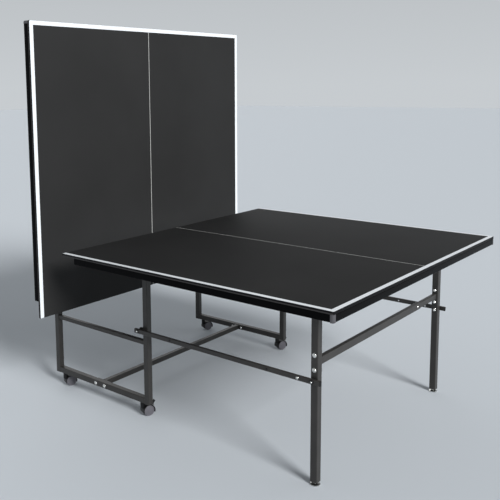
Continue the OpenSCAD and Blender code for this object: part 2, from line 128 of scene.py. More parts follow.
SPARE_HOLES = (LINK_X + 195 * MM, LEG_X - 200 * MM)
FINE_BEAD = 1.2 * MM
BOARD_CORNER = 8 * MM
RAIL_SCREWS_Y = (-0.62, -0.36, -0.12, 0.12, 0.36, 0.62)
APRON_SCREWS, APRON_SCREW_LINE = 6, -12 * MM
PEDAL_DROP = math.radians(52)

# ---- Where things go ----


def turned(x, z, angle):
    """A turn about the line along Y through (x, z), which lifts the +X side."""
    centre = Matrix.Translation((x, 0, z))
    return centre @ Matrix.Rotation(-angle, 4, "Y") @ centre.inverted()


def fold_of(half):
    """How far a half is folded up at rest."""
    return 0 if half == "play" else math.pi / 2


def at_half(half):
    """Puts what is drawn for the play half, from the net line, at the half's own end."""
    flip = Matrix() if half == "play" else Matrix.Scale(-1, 4, X_AXIS)
    return Matrix.Translation((NET_X, 0, 0)) @ flip


def with_half(half):
    return at_half(half) @ turned(FOLD_X, FOLD_Z, fold_of(half))


def with_links(half):
    return at_half(half) @ turned(LINK_X, LINK_Z, fold_of(half))


def with_legs(half):
    angle = fold_of(half)
    shift = (LINK_LENGTH * (math.cos(angle) - 1), 0, LINK_LENGTH * math.sin(angle))
    return at_half(half) @ Matrix.Translation(shift)


def corners():
    """The placement of each corner of the undercarriage."""
    return [at_half(half) @ SIDES[side] for half in HALVES for side in SIDES]


def along(axis, at=(0, 0, 0)):
    """Turns what is drawn along Z to lie along the axis, and moves it to a point."""
    return Matrix.Translation(at) @ Vector(axis).to_track_quat("Z", "Y").to_matrix().to_4x4()


def facing(axis, at):
    """Turns the plane z = 0 to lie across an axis at a point. Its x and y follow the next two."""
    axes = (X_AXIS, Y_AXIS, Z_AXIS)
    first = "XYZ".index(axis)
    columns = [axes[(first + step) % 3] for step in (1, 2, 0)]
    return Matrix.Translation(at) @ Matrix(columns).transposed().to_4x4()


# ---- Outlines ----

# Rings that join a hexagon or a rounded square have as many points as it has
HEX_POINTS, SQUARE_POINTS = 36, 40


def in_mm(profile):
    """The points of a profile that is written in millimetres."""
    return [(radius * MM, z * MM) for radius, z in profile]


def circle(radius, z, count=32):
    if radius == 0:
        return [(0, 0, z)]
    turns = [math.tau * i / count for i in range(count)]
    return [(radius * math.cos(a), radius * math.sin(a), z) for a in turns]


def hexagon(radius, z):
    """A hexagon of the given corner radius, with its sides divided."""
    points = []
    for i in range(HEX_POINTS):
        turn = math.tau * i / HEX_POINTS
        off_middle = turn % (math.pi / 3) - math.pi / 6
        reach = radius * math.cos(math.pi / 6) / math.cos(off_middle)
        points.append((reach * math.cos(turn), reach * math.sin(turn), z))
    return points


def squarish(half_x, half_y, z, power=14):
    """A rectangle with rounded corners, as a superellipse."""
    points = []
    for i in range(SQUARE_POINTS):
        turn = math.tau * i / SQUARE_POINTS
        c, s = math.cos(turn), math.sin(turn)
        reach = (abs(c) ** power + abs(s) ** power) ** (-1 / power)
        points.append((half_x * c * reach, half_y * s * reach, z))
    return points


def square(half_size, z):
    return squarish(half_size, half_size, z)


def rounded(points, radii, closed=True, steps=5):
    """The points of a flat outline, with each corner turned into a curve."""
    made = []
    for i, point in enumerate(points):
        radius = radii[i] if isinstance(radii, (list, tuple)) else radii
        ends = not closed and i in (0, len(points) - 1)
        if radius == 0 or ends:
            made.append(tuple(point))
            continue
        corner = Vector(point)
        before, after = Vector(points[i - 1]), Vector(points[(i + 1) % len(points)])
        start = corner + (before - corner).normalized() * radius
        end = corner + (after - corner).normalized() * radius
        for step in range(steps + 1):
            t = step / steps
            made.append(tuple(start * (1 - t) ** 2 + corner * 2 * t * (1 - t) + end * t**2))
    return made


def plate_outline(low, high, radii, z, inset=0):
    """A rectangle from low to high with its own radius at each corner, pulled in by inset."""
    x0, y0, x1, y1 = low[0] + inset, low[1] + inset, high[0] - inset, high[1] - inset
    flat = rounded([(x0, y0), (x1, y0), (x1, y1), (x0, y1)], [max(r - inset, 1e-5) for r in radii])
    return [(x, y, z) for x, y in flat]


# ---- Meshes ----


class Piece:
    """One visible piece, made of closed skins over rings of points. A band is the number of the
    material that a skin takes."""

    def __init__(self, *materials):
        self.mesh = bmesh.new()
        self.materials = materials

    def loft(self, rings, place, bands=0, joined=False):
        """Skins the rings, and caps both ends unless the last ring joins the first. bands is the
        material, or a list of them: the first cap, each band in turn and the last cap."""
        rows = [[self.mesh.verts.new(place @ Vector(point)) for point in ring] for ring in rings]
        pairs = list(zip(rows, rows[1:])) + ([(rows[-1], rows[0])] if joined else [])
        band_of = bands if isinstance(bands, list) else [bands] * (len(pairs) + 2)
        for band, (low, high) in zip(band_of[1:], pairs):
            for i in range(max(len(low), len(high))):
                around = ((low, i - 1), (low, i), (high, i), (high, i - 1))
                corners_of = dict.fromkeys(row[k % len(row)] for row, k in around)
                self.mesh.faces.new(corners_of).material_index = band
        for band, row in ((band_of[0], rows[0]), (band_of[-1], rows[-1])):
            if not joined and len(row) > 2:
                self.mesh.faces.new(row).material_index = band

    def lathe(self, profile, place, bands=0, joined=False, count=32):
        self.loft([circle(radius, z, count) for radius, z in profile], place, bands, joined)

    def block(self, low, high, edge, place, corner=None):
        """A box with rounded edges, drawn as a stack of outlines."""
        corner = edge if corner is None else corner
        rings = []
        for end, sign in ((low[2], 1), (high[2], -1)):
            turns = (0, 30, 60, 90) if sign == 1 else (90, 60, 30, 0)
            for turn in turns:
                inset = edge * (1 - math.sin(math.radians(turn)))
                z = end + sign * edge * (1 - math.cos(math.radians(turn)))
                rings.append(plate_outline(low, high, [corner] * 4, z, inset))
        self.loft(rings, place)

    def finish(self, name, body, slot, *nodes):
        """Makes the object, which rides on a body and stands for the nodes."""
        bmesh.ops.recalc_face_normals(self.mesh, faces=self.mesh.faces)
        data = bpy.data.meshes.new(name)
        self.mesh.to_mesh(data)
        self.mesh.free()
        for material in self.materials:
            data.materials.append(material)
        data.shade_smooth()
        data.set_sharp_from_angle(angle=math.radians(35))
        made = bpy.data.objects.new(name, data)
        bpy.context.scene.collection.objects.link(made)
        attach(made, body)
        if nodes:
            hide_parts(*nodes)


# ---- Materials ----


def noise(tree, coordinates, scale, detail=3):
    made = tree.nodes.new("ShaderNodeTexNoise")
    made.inputs["Scale"].default_value = scale
    made.inputs["Detail"].default_value = detail
    tree.links.new(coordinates, made.inputs["Vector"])
    return made.outputs["Fac"]


def remap(tree, value, low, high):
    """Spreads a noise value, which mostly lies between 0.3 and 0.7, over low to high."""
    made = tree.nodes.new("ShaderNodeMapRange")
    made.inputs["From Min"].default_value = 0.3
    made.inputs["From Max"].default_value = 0.7
    made.inputs["To Min"].default_value = low
    made.inputs["To Max"].default_value = high
    tree.links.new(value, made.inputs["Value"])
    return made.outputs["Result"]


def surface(
    name,
    colour,
    roughness,
    vary,
    patch_scale,
    grain_scale,
    grain_depth,
    metallic=0,
    specular=0.5,
    tint=None,
):
    """A finish whose colour and roughness drift in patches, with a fine grain in relief."""
    made = bpy.data.materials.new(name)
    made.use_nodes = True
    tree = made.node_tree
    shader = tree.nodes["Principled BSDF"]
    shader.inputs["Metallic"].default_value = metallic
    shader.inputs["Specular IOR Level"].default_value = specular
    place = tree.nodes.new("ShaderNodeTexCoord").outputs["Object"]
    patches = noise(tree, place, patch_scale)
    grain = noise(tree, place, grain_scale, detail=2)
    mixed = tree.nodes.new("ShaderNodeMix")
    mixed.data_type = "RGBA"
    tinted = tint or colour
    mixed.inputs["A"].default_value = [c * (1 - vary) for c in colour] + [1]
    mixed.inputs["B"].default_value = [c * (1 + vary) for c in tinted] + [1]
    tree.links.new(remap(tree, patches, 0, 1), mixed.inputs["Factor"])
    tree.links.new(mixed.outputs["Result"], shader.inputs["Base Color"])
    wear = remap(tree, grain, roughness - 0.05, roughness + 0.05)
    tree.links.new(wear, shader.inputs["Roughness"])
    bump = tree.nodes.new("ShaderNodeBump")
    bump.inputs["Distance"].default_value = grain_depth * MM
    bump.inputs["Strength"].default_value = 1
    tree.links.new(grain, bump.inputs["Height"])
    tree.links.new(bump.outputs["Normal"], shader.inputs["Normal"])
    return made


PLAYING_PAINT = surface(
    "playing_paint", (0.027, 0.027, 0.0271), 0.66, 0.07, 3, 1600, 0.05, specular=0.05
)
UNDERSIDE = surface("underside_laminate", (0.03, 0.029, 0.028), 0.5, 0.15, 14, 500, 0.02)
LINE_WHITE = surface("line_white", (0.8, 0.83, 0.86), 0.5, 0.02, 20, 1200, 0.02)
LINE_GREY = surface("centre_line", (0.5, 0.5, 0.48), 0.55, 0.06, 20, 1200, 0.02)
EDGE_BLACK = surface(
    "edge_paint", (0.003, 0.003, 0.004), 0.5, 0.1, 25, 900, 0.02, specular=0.1
)
EDGE_GREY = surface("edge_band", (0.04, 0.038, 0.0385), 0.5, 0.12, 30, 700, 0.03, specular=0.15)
ENAMEL = surface(
    "apron_enamel", (0.0025, 0.0025, 0.0028), 0.22, 0.1, 12, 350, 0.012, specular=0.03
)
POWDER = surface("powder_coat", (0.0332, 0.031, 0.029), 0.4, 0.12, 16, 850, 0.05, specular=0.4)
ZINC = surface(
    "zinc_plate", (0.84, 0.85, 0.87), 0.24, 0.06, 160, 900, 0.01, 1, tint=(0.86, 0.85, 0.78)
)
THREAD = surface("zinc_thread", (0.62, 0.63, 0.65), 0.36, 0.08, 200, 900, 0.01, 1)
BLACK_PLASTIC = surface(
    "black_plastic", (0.006, 0.006, 0.0065), 0.38, 0.1, 40, 1100, 0.03, specular=0.3
)
GREY_PLASTIC = surface("corner_plastic", (0.075, 0.073, 0.08), 0.4, 0.08, 40, 1100, 0.03)
WHEEL_GREY = surface("wheel_plastic", (0.112, 0.108, 0.122), 0.42, 0.07, 60, 1000, 0.03)
NYLON = surface("nylon_ring", (0.7, 0.72, 0.74), 0.4, 0.05, 90, 1100, 0.02)

SLOT_FINISH = {
    "powder_coat": POWDER,
    "apron_enamel": ENAMEL,
    "black_plastic": BLACK_PLASTIC,
    "grey_plastic": GREY_PLASTIC,
    "wheel_plastic": WHEEL_GREY,
    "zinc": ZINC,
    "playing_board": PLAYING_PAINT,
}


def finish_frame():
    """Gives every CAD node its finish and soft edges."""
    slots = {part["node"]: part["material_slot"] for part in frame["record"]["subparts"]}
    for node, made in frame["nodes"].items():
        made.data.materials.clear()
        made.data.materials.append(SLOT_FINISH[slots[node]])
        weld = made.modifiers.new("weld", "WELD")
        weld.merge_threshold = 0.01 * MM
        flat = made.modifiers.new("whole_faces", "DECIMATE")
        flat.decimate_type = "DISSOLVE"
        flat.angle_limit = math.radians(0.3)
        bevel = made.modifiers.new("soft_edges", "BEVEL")
        bevel.width = (1.1 if node.endswith("_hood") else 0.4) * MM
        bevel.segments = 3
        bevel.limit_method = "ANGLE"
        bevel.angle_limit = math.radians(40)


# ---- Fasteners, drawn along Z with the head up ----


def shank(piece, low, high, radius, place, pitch=1.25 * MM, threads=6):
    """A plain shank whose lower end is threaded."""
    profile = [(0, low), (radius * 0.8, low)]
    z = low + pitch / 2
    for _ in range(threads):
        profile += [(radius, z), (radius * 0.88, z + pitch / 2)]
        z += pitch
    profile += [(radius, z), (radius, high), (0, high)]
    piece.lathe(profile, place, count=20)


def button_head(piece, z, radius, height, place, band=0):
    """A domed head with a hexagon socket."""
    socket = radius * 0.34
    rings = [circle(0, z, HEX_POINTS), circle(radius, z, HEX_POINTS)]
    for turn in range(10, 71, 12):
        a = math.radians(turn)
        rings.append(circle(radius * math.cos(a), z + height * math.sin(a), HEX_POINTS))
    rings += [
        circle(socket * 1.12, z + height, HEX_POINTS),
        hexagon(socket, z + height * 0.93),
        hexagon(socket, z + height * 0.3),
        circle(0, z + height * 0.25, HEX_POINTS),
    ]
    piece.loft(rings, place, band)


def washer(piece, z, radius, hole, thickness, place, band=0):
    edge = thickness * 0.25
    profile = [(hole, z), (radius - edge, z), (radius, z + edge), (radius, z + thickness - edge)]
    profile += [(radius - edge, z + thickness), (hole, z + thickness)]
    piece.lathe(profile, place, band, joined=True, count=HEX_POINTS)


def lock_nut(piece, top, radius, height, hole, place):
    """A hexagon nut below "top", with its nylon ring underneath in the piece's second material."""
    collar = height * 0.3
    chamfer = height * 0.1
    low = top - height + collar
    rings = [
        circle(hole, low, HEX_POINTS),
        circle(radius * 0.8, low, HEX_POINTS),
        hexagon(radius * 0.93, low + chamfer),
        hexagon(radius, low + 2 * chamfer),
        hexagon(radius, top - chamfer),
        hexagon(radius * 0.94, top),
        circle(hole, top, HEX_POINTS),
    ]
    piece.loft(rings, place, joined=True)
    outside = radius * 0.74
    profile = rounded(
        [(hole, low), (hole, low - collar), (outside, low - collar), (outside, low)],
        [0, 0, collar * 0.6, 0],
        closed=False,
    )
    piece.lathe(profile, place, 1, joined=True, count=HEX_POINTS)


def frame_bolt(piece, inner, outer, head_radius, place):
    """A button-headed bolt through a joint, with its washer and lock nut."""
    rim = 1.1 * MM
    shank(piece, inner - NUT_HEIGHT - BOLT_END, outer, BOLT_RADIUS, place)
    washer(piece, outer, head_radius, BOLT_RADIUS, rim, place)
    button_head(piece, outer + rim, head_radius * 0.88, 3.4 * MM, place)
    lock_nut(piece, inner, NUT_RADIUS, NUT_HEIGHT, BOLT_RADIUS * 0.97, place)


def small_bolt(piece, inner, outer, place):
    radius, nut_height = 3 * MM, 3.5 * MM
    shank(piece, inner - nut_height - 1 * MM, outer, radius, place, 1 * MM, 5)
    button_head(piece, outer, 6 * MM, 3 * MM, place)
    lock_nut(piece, inner, 5.5 * MM, nut_height, radius * 0.97, place)


def link_pivot(piece, inner, outer, place):
    """The pivot of a link bar: nut and spacer inside it, a black flange and cap nut outside."""
    low = LINK_OUTER_Y + SIDE_GAP
    high = low + PIVOT_FLANGE
    shank(piece, inner - NUT_HEIGHT - BOLT_END, low, BOLT_RADIUS, place)
    lock_nut(piece, inner, NUT_RADIUS, NUT_HEIGHT, BOLT_RADIUS * 0.97, place)
    washer(piece, outer, SPACER_RADIUS, BOLT_RADIUS, LINK_INNER_Y - SIDE_GAP - outer, place, 2)
    profile = [(0, low), (PIVOT_FLANGE_RADIUS, low), (PIVOT_FLANGE_RADIUS, high), (0, high)]
    piece.lathe(rounded(profile, [0, 0.3 * MM, 1.2 * MM, 0], closed=False), place, 2, count=40)
    button_head(piece, high, 4.5 * MM, 2.8 * MM, place)


def across(x, y, z):
    """Puts a fastener's axis along Y at a point, with its head towards +Y."""
    return Matrix.Translation((x, y, z)) @ Matrix.Rotation(-math.pi / 2, 4, "X")


# ---- Table halves ----


def make_board(half):
    """The board, with painted edges, and a bare band along the bottom of its two side edges."""
    low, high = (BOARD_START, -BOARD_HALF), (BOARD_END, BOARD_HALF)
    radii = [1 * MM, BOARD_CORNER, BOARD_CORNER, 1 * MM]
    soft = 0.8 * MM
    paint = 0.15 * MM
    top = BOARD_TOP - paint
    groove, groove_half, groove_depth = BOARD_BOTTOM + 5.4 * MM, 0.4 * MM, 0.25 * MM
    levels = [
        (BOARD_BOTTOM, soft),
        (BOARD_BOTTOM + soft, 0),
        (groove - groove_half, 0),
        (groove, groove_depth),
        (groove + groove_half, 0),
        (top - soft, 0),
        (top - soft * 0.3, soft * 0.3),
        (top, soft),
    ]
    board = Piece(PLAYING_PAINT, EDGE_BLACK, EDGE_GREY, UNDERSIDE)
    face_up, black, bare, face_down = range(4)
    rings = [plate_outline(low, high, radii, z, inset) for z, inset in levels]
    board.loft(rings, with_half(half), [face_down] + [bare] * 2 + [black] * 5 + [face_up])
    board.mesh.normal_update()
    end_wards = with_half(half).to_3x3() @ X_AXIS
    for face in board.mesh.faces:
        if face.material_index == bare and abs(face.normal.dot(end_wards)) > 0.5:
            face.material_index = black
    board.finish(half + "_board_panel", half + "_half", "playing_board", half + "_board")

    wide, thin, crisp = 20 * MM, 3 * MM, 0.1 * MM
    lines = Piece(LINE_WHITE, LINE_GREY)
    outer_x, outer_y = BOARD_END - soft, BOARD_HALF - soft
    start_x, inner_x = BOARD_START + soft, BOARD_END - wide

    def stripe(x0, y0, x1, y1, radius=crisp, band=0):
        """A stripe of paint, with its own radius at the two outer corners."""
        corner_radii = [crisp, radius, radius, crisp]
        heights = (top - paint, BOARD_TOP)
        rings = [plate_outline((x0, y0), (x1, y1), corner_radii, z) for z in heights]
        lines.loft(rings, with_half(half), band)

    stripe(inner_x, -outer_y, outer_x, outer_y, radius=BOARD_CORNER - soft)
    stripe(start_x, outer_y - wide, inner_x, outer_y)
    stripe(start_x, -outer_y, inner_x, wide - outer_y)
    stripe(start_x, -thin / 2, inner_x, thin / 2, band=1)
    lines.finish(half + "_lines", half + "_half", "playing_board")


def make_aprons(half):
    """Rolled steel aprons: a flange under the board, a web and a lip turned in at the bottom."""
    flange, sheet, lip = 20 * MM, WALL, 7 * MM
    soft_end = 0.3 * MM

    def screw(piece, x, y, place):
        """A screw up through the flange, with its head below the sheet."""
        button_head(piece, 0, 3.6 * MM, 1.8 * MM, place @ along((0, 0, -1), (x, y, -sheet)), 1)

    section = rounded(
        [
            (-flange, 0),
            (0, 0),
            (0, -APRON_DEPTH),
            (-lip, -APRON_DEPTH),
            (-lip, sheet - APRON_DEPTH),
            (-sheet, sheet - APRON_DEPTH),
            (-sheet, -sheet),
            (-flange, -sheet),
        ],
        [0.4 * MM, 2.6 * MM, 1.6 * MM, 0.5 * MM, 0.5 * MM, 0.6 * MM, 1.2 * MM, 0.4 * MM],
    )
    sides = Piece(ENAMEL, ZINC)
    for side in SIDES.values():
        place = with_half(half) @ side @ Matrix.Translation((0, BOARD_HALF, BOARD_BOTTOM))
        stations = (APRON_START, APRON_START + soft_end, APRON_END - soft_end, APRON_END)
        sides.loft([[(x, y, z) for y, z in section] for x in stations], place)
        for i in range(APRON_SCREWS):
            x = APRON_START + (i + 0.5) * (APRON_END - APRON_START) / APRON_SCREWS
            screw(sides, x, APRON_SCREW_LINE, place)
    sides.finish(half + "_side_apron_rails", half + "_half", "apron_enamel", half + "_side_aprons")

    end = Piece(ENAMEL, ZINC)
    place = with_half(half) @ Matrix.Translation((BOARD_END, 0, BOARD_BOTTOM))
    reach = END_APRON_HALF
    stations = (-reach, soft_end - reach, reach - soft_end, reach)
    end.loft([[(x, y, z) for x, z in section] for y in stations], place)
    for i in range(APRON_SCREWS):
        y = (2 * i + 1 - APRON_SCREWS) * reach / APRON_SCREWS
        screw(end, APRON_SCREW_LINE, y, place)
    end.finish(half + "_end_apron_rail", half + "_half", "apron_enamel", half + "_end_apron")


def make_rail_screws(half):
    """The screws that hold the two cross rails up against the board, and the rails' end plugs."""
    screws = Piece(ZINC)
    rim = 0.8 * MM
    for x in (FOLD_X, HINGE_X):
        for y in RAIL_SCREWS_Y:
            place = with_half(half) @ along((0, 0, -1), (x, y, RAIL_BOTTOM))
            washer(screws, 0, 6 * MM, 2 * MM, rim, place)
            button_head(screws, rim, 4 * MM, 2.2 * MM, place)
    screws.finish(half + "_rail_screws", half + "_half", "zinc")

    plugs = Piece(BLACK_PLASTIC)
    rail = size_of("play_cross_rails").z
    end_y, rail_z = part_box("play_cross_rails")[1].y, RAIL_BOTTOM + rail / 2
    for side in SIDES.values():
        for x in (FOLD_X, HINGE_X):
            place = with_half(half) @ side @ facing("Y", (x, end_y, rail_z))
            tube_plug(plugs, place, rail, 1.5 * MM, 10 * MM)
    plugs.finish(half + "_rail_plugs", half + "_half", "black_plastic")


# ---- Leg frames ----


def make_leg_bolts(half):
    """The bolts of the leg frame: crossbar flanges, link pivots, board hinges and the lap."""
    bolts = Piece(ZINC, NYLON, BLACK_PLASTIC)
    inner_face = LEG_OUTER_Y - LEG_SIZE
    for side in SIDES.values():
        legs = with_legs(half) @ side
        for z in (CROSSBAR_Z - FLANGE_BOLT_SPREAD, CROSSBAR_Z + FLANGE_BOLT_SPREAD):
            place = legs @ across(LEG_X, 0, z)
            frame_bolt(bolts, inner_face - FLANGE, LEG_OUTER_Y, HEAD_RADIUS, place)
        link_pivot(bolts, inner_face, LEG_OUTER_Y, legs @ across(LEG_X, 0, LINK_Z))
        place = legs @ across(HINGE_X, LEG_Y, FOLD_Z)
        frame_bolt(bolts, -EAR_REACH, EAR_REACH, HINGE_HEAD_RADIUS, place)
    bar = CROSSBAR[0] / 2
    small_bolt(bolts, -bar, bar, with_legs(half) @ along(X_AXIS, (LEG_X, LAP_BOLT_Y, CROSSBAR_Z)))
    bolts.finish(half + "_leg_fasteners", half + "_leg_frame", "zinc", half + "_leg_bolts")


def tube_plug(piece, place, size, head, insert):
    """A plug for a square tube, with its head from z = 0 up and its insert below."""
    outer, inner, crown = size / 2, size / 2 - PLUG_WALL, 0.8 * MM
    rings = [square(inner - 0.5 * MM, -insert), square(inner, 1 * MM - insert), square(inner, 0)]
    rings += [square(outer, 0), square(outer, head * 0.4)]
    for share, drop in ((0.97, 0.25), (0.9, 0.08)):
        rings.append(square(outer * share, head * (1 - drop) - crown * (1 - share)))
    rings += [square(outer * 0.5, head), circle(0, head)]
    piece.loft(rings, place)


def make_leg_plugs(half):
    """Caps on top of the legs, and the sockets below that hold the feet's stems."""
    plugs = Piece(BLACK_PLASTIC)
    socket, depth, lip = 5.06 * MM, 45 * MM, 1.5 * MM
    outer, inner = LEG_SIZE / 2, LEG_SIZE / 2 - PLUG_WALL
    for side in SIDES.values():
        legs = with_legs(half) @ side
        top = legs @ Matrix.Translation((LEG_X, LEG_Y, LEG_TOP))
        tube_plug(plugs, top, LEG_SIZE, PLUG_HEAD, PLUG_INSERT)
        rings = [circle(socket, depth, SQUARE_POINTS), square(inner, depth), square(inner, 0)]
        rings += [square(outer, 0), square(outer, 0.5 * MM - lip)]
        rings += [square(outer - 0.5 * MM, -lip), circle(socket, -lip, SQUARE_POINTS)]
        plugs.loft(rings, legs @ Matrix.Translation((LEG_X, LEG_Y, LEG_BOTTOM)), joined=True)
    plugs.finish(half + "_leg_caps", half + "_leg_frame", "black_plastic", half + "_leg_plugs")


def make_leveller(half, side):
    """A screw foot: a pressed disc with a rubber sole, a hexagon and a threaded stem."""
    foot = Piece(ZINC, THREAD, BLACK_PLASTIC)
    place = with_legs(half) @ SIDES[side] @ Matrix.Translation((LEG_X, LEG_Y, 0))
    sole = [(0, 0), (18.5, 0), (19, 0.5), (19, 1.6), (0, 1.6)]
    foot.lathe(in_mm(sole), place, 2)
    disc = [(0, 1.6), (19.4, 1.2), (20, 1.7), (20, 3.4), (19.2, 4.1), (17.6, 4.4)]
    disc += [(13, 5.3), (9.5, 6.6), (8.6, 7), (0, 7)]
    foot.lathe(in_mm(disc), place, count=48)
    nut, nut_top = 8, 11.5
    hexes = [(nut * 0.93, 7), (nut, 7.6), (nut, nut_top - 0.6), (nut * 0.93, nut_top)]
    foot.loft([hexagon(r, z) for r, z in in_mm(hexes)], place)
    pitch, radius, threads = 1.5, 5.0, 24
    profile = [(0, nut_top), (radius * 0.85, nut_top)]
    for i in range(threads):
        z = nut_top + 0.5 + i * pitch
        profile += [(radius, z), (radius * 0.86, z + pitch / 2)]
    profile += [(radius, 49), (radius * 0.8, 50), (0, 50)]
    foot.lathe(in_mm(profile), place, 1, count=28)
    node = f"{half}_{side}_leveller"
    foot.finish(node + "_foot", node, "zinc", node)


# ---- Link bars ----


def make_link_fittings(half, side):
    """The plugs in the ends of a link bar, and the extra bolt near its leg."""
    node = f"{half}_{side}_link"
    place = with_links(half) @ SIDES[side]
    plugs = Piece(BLACK_PLASTIC)
    wide, high = LINK_THICKNESS / 2, LINK_HEIGHT / 2
    sizes = [(wide - WALL, high - WALL, -6), (wide - WALL, high - WALL, 0), (wide, high, 0)]
    sizes += [(wide, high, 1.2), (wide * 0.92, high * 0.95, 2), (wide * 0.68, high * 0.8, 2.5)]
    rings = [squarish(half_z, half_y, x * MM, power=7) for half_y, half_z, x in sizes]
    for x, out in ((LINK_START, -X_AXIS), (LINK_END, X_AXIS)):
        axes = Matrix((out, Y_AXIS, out.cross(Y_AXIS))).transposed().to_4x4()
        end = Matrix.Translation((x, LINK_Y, LINK_Z)) @ axes
        plugs.loft(rings, place @ end @ Matrix.Rotation(math.pi / 2, 4, "Y"))
    plugs.finish(node + "_end_plugs", node, "black_plastic", node + "_fittings")
    bolt = Piece(ZINC, NYLON)
    small_bolt(bolt, -wide, wide, place @ across(LINK_BOLT_X, LINK_Y, LINK_Z))
    bolt.finish(node + "_bolt", node, "zinc")


def make_hole_plugs(half, side):
    """A push-in plug in each spare hole of a link bar, with its head outside and its tip inside."""
    node = f"{half}_{side}_link"
    face = LINK_THICKNESS / 2
    head = [(0, 0), (5.4, 0), (5.6, 0.2), (5.6, 0.5), (5.1, 1), (3.6, 1.5), (1.8, 1.75), (0, 1.8)]
    head = [(radius, face + z) for radius, z in in_mm(head)]
    tip = [(0, 2.2), (1.6, 2), (2.6, 1.3), (3.3, 0.3), (3.3, -1), (2.6, -2.5)]
    tip = [(radius, -face - z) for radius, z in in_mm(tip)]
    stem_top = face + 0.2 * MM
    stem = tip + [(2.6 * MM, stem_top), (0, stem_top)]
    plugs = Piece(BLACK_PLASTIC, NYLON)
    for x in SPARE_HOLES:
        place = with_links(half) @ SIDES[side] @ across(x, LINK_Y, LINK_Z)
        plugs.lathe(head, place)
        plugs.lathe(stem, place, 1)
    plugs.finish(node + "_hole_plugs", node, "black_plastic")


# ---- Undercarriage ----


def make_base_bolts():
    """The bolts between the undercarriage's crossbar and its two base rails."""
    bolts = Piece(ZINC, NYLON)
    inner, outer = POST_Y - POST_SIZE / 2 - FLANGE, POST_Y + POST_SIZE / 2
    for side in SIDES.values():
        for x in (NET_X - BASE_BOLT_SPREAD, NET_X + BASE_BOLT_SPREAD):
            frame_bolt(bolts, inner, outer, HEAD_RADIUS, side @ across(x, 0, BASE_RAIL_Z))
    bolts.finish("base_crossbar_fasteners", "undercarriage", "zinc", "base_crossbar_bolts")


def make_pivot_bolts():
    """The bolts that the halves and the link bars turn on."""
    bolts = Piece(ZINC, NYLON, BLACK_PLASTIC)
    outer = POST_Y + POST_SIZE / 2
    for corner in corners():
        place = corner @ across(FOLD_X, POST_Y, FOLD_Z)
        frame_bolt(bolts, -EAR_REACH, EAR_REACH, HINGE_HEAD_RADIUS, place)
        link_pivot(bolts, outer - PLATE, outer, corner @ across(LINK_X, 0, LINK_Z))
    bolts.finish("pivot_fasteners", "undercarriage", "zinc", "pivot_bolts")


def make_post_caps():
    caps = Piece(BLACK_PLASTIC)
    for corner in corners():
        place = corner @ Matrix.Translation((POST_X, POST_Y, POST_TOP))
        tube_plug(caps, place, POST_SIZE, PLUG_HEAD, PLUG_INSERT)
    caps.finish("post_end_caps", "undercarriage", "black_plastic", "post_caps")


def weld_bead(piece, size_x, size_y, place, radius=1.6 * MM):
    """A rippled bead of weld round the foot of a tube or plate that stands on z = 0."""
    x, y = size_x / 2, size_y / 2
    ripple = 2.2 * MM
    turn = min(3 * MM, 0.4 * x, 0.4 * y)
    points = rounded([(-x, -y), (x, -y), (x, y), (-x, y)], turn, steps=2)
    points = [Vector((x, y, 0)) for x, y in points]
    steps = []
    for start, end in zip(points, points[1:] + points[:1]):
        count = max(1, round((end - start).length / ripple))
        steps += [start.lerp(end, i / count) for i in range(count)]
    rings = []
    for i, point in enumerate(steps):
        ahead = (steps[(i + 1) % len(steps)] - steps[i - 1]).normalized()
        out = ahead.cross(Z_AXIS)
        size = radius * (1 if i % 2 else 0.82)
        turns = [math.tau * k / 8 for k in range(8)]
        rings.append([point + (out * math.cos(a) + Z_AXIS * math.sin(a)) * size for a in turns])
    piece.loft(rings, place, joined=True)


def make_welds():
    """The beads where tubes, plates and lugs are welded to each other."""
    beads = Piece(POWDER)
    face = POST_X - POST_SIZE / 2
    upper_low, upper_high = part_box("upper_rails")
    upper_z, upper_size = (upper_low.z + upper_high.z) / 2, upper_high.z - upper_low.z
    for corner in corners():
        for z, size in ((BASE_RAIL_Z, POST_SIZE), (upper_z, upper_size)):
            weld_bead(beads, size - 1 * MM, size - 1 * MM, corner @ facing("X", (face, POST_Y, z)))
        for y, z in ((POST_Y, FOLD_Z), (POST_Y + POST_SIZE / 2 - PLATE / 2, LINK_Z)):
            weld_bead(beads, PLATE, LUG_WIDTH, corner @ facing("X", (face, y, z)), FINE_BEAD)
    bar, plate_y = size_of("base_crossbar").z, POST_Y - POST_SIZE / 2 - FLANGE
    for side in SIDES.values():
        weld_bead(beads, bar, bar, side @ facing("Y", (NET_X, plate_y, BASE_RAIL_Z)), FINE_BEAD)
    beads.finish("undercarriage_welds", "undercarriage", "powder_coat")

    for half in HALVES:
        beads = Piece(POWDER)
        for side in SIDES.values():
            for x, y in ((FOLD_X, POST_Y), (HINGE_X, LEG_Y)):
                for off in (EAR_MIDDLE, -EAR_MIDDLE):
                    place = with_half(half) @ side @ facing("Z", (x, y + off, RAIL_BOTTOM))
                    weld_bead(beads, LUG_WIDTH, PLATE, place, FINE_BEAD)
        beads.finish(half + "_ear_welds", half + "_half", "powder_coat")

        beads = Piece(POWDER)
        plate_y = LEG_OUTER_Y - LEG_SIZE - FLANGE
        for name, side in SIDES.items():
            legs = with_legs(half) @ side
            lug = facing("X", (LEG_X - LEG_SIZE / 2, LEG_Y, FOLD_Z))
            weld_bead(beads, PLATE, LUG_WIDTH, legs @ lug, FINE_BEAD)
            shrink = 0 if name == "left" else 2 * (WALL + LAP_GAP)
            bar = facing("Y", (LEG_X, plate_y, CROSSBAR_Z))
            weld_bead(beads, CROSSBAR[1] - shrink, CROSSBAR[0] - shrink, legs @ bar, FINE_BEAD)
        beads.finish(half + "_leg_welds", half + "_leg_frame", "powder_coat")


# ---- Casters ----


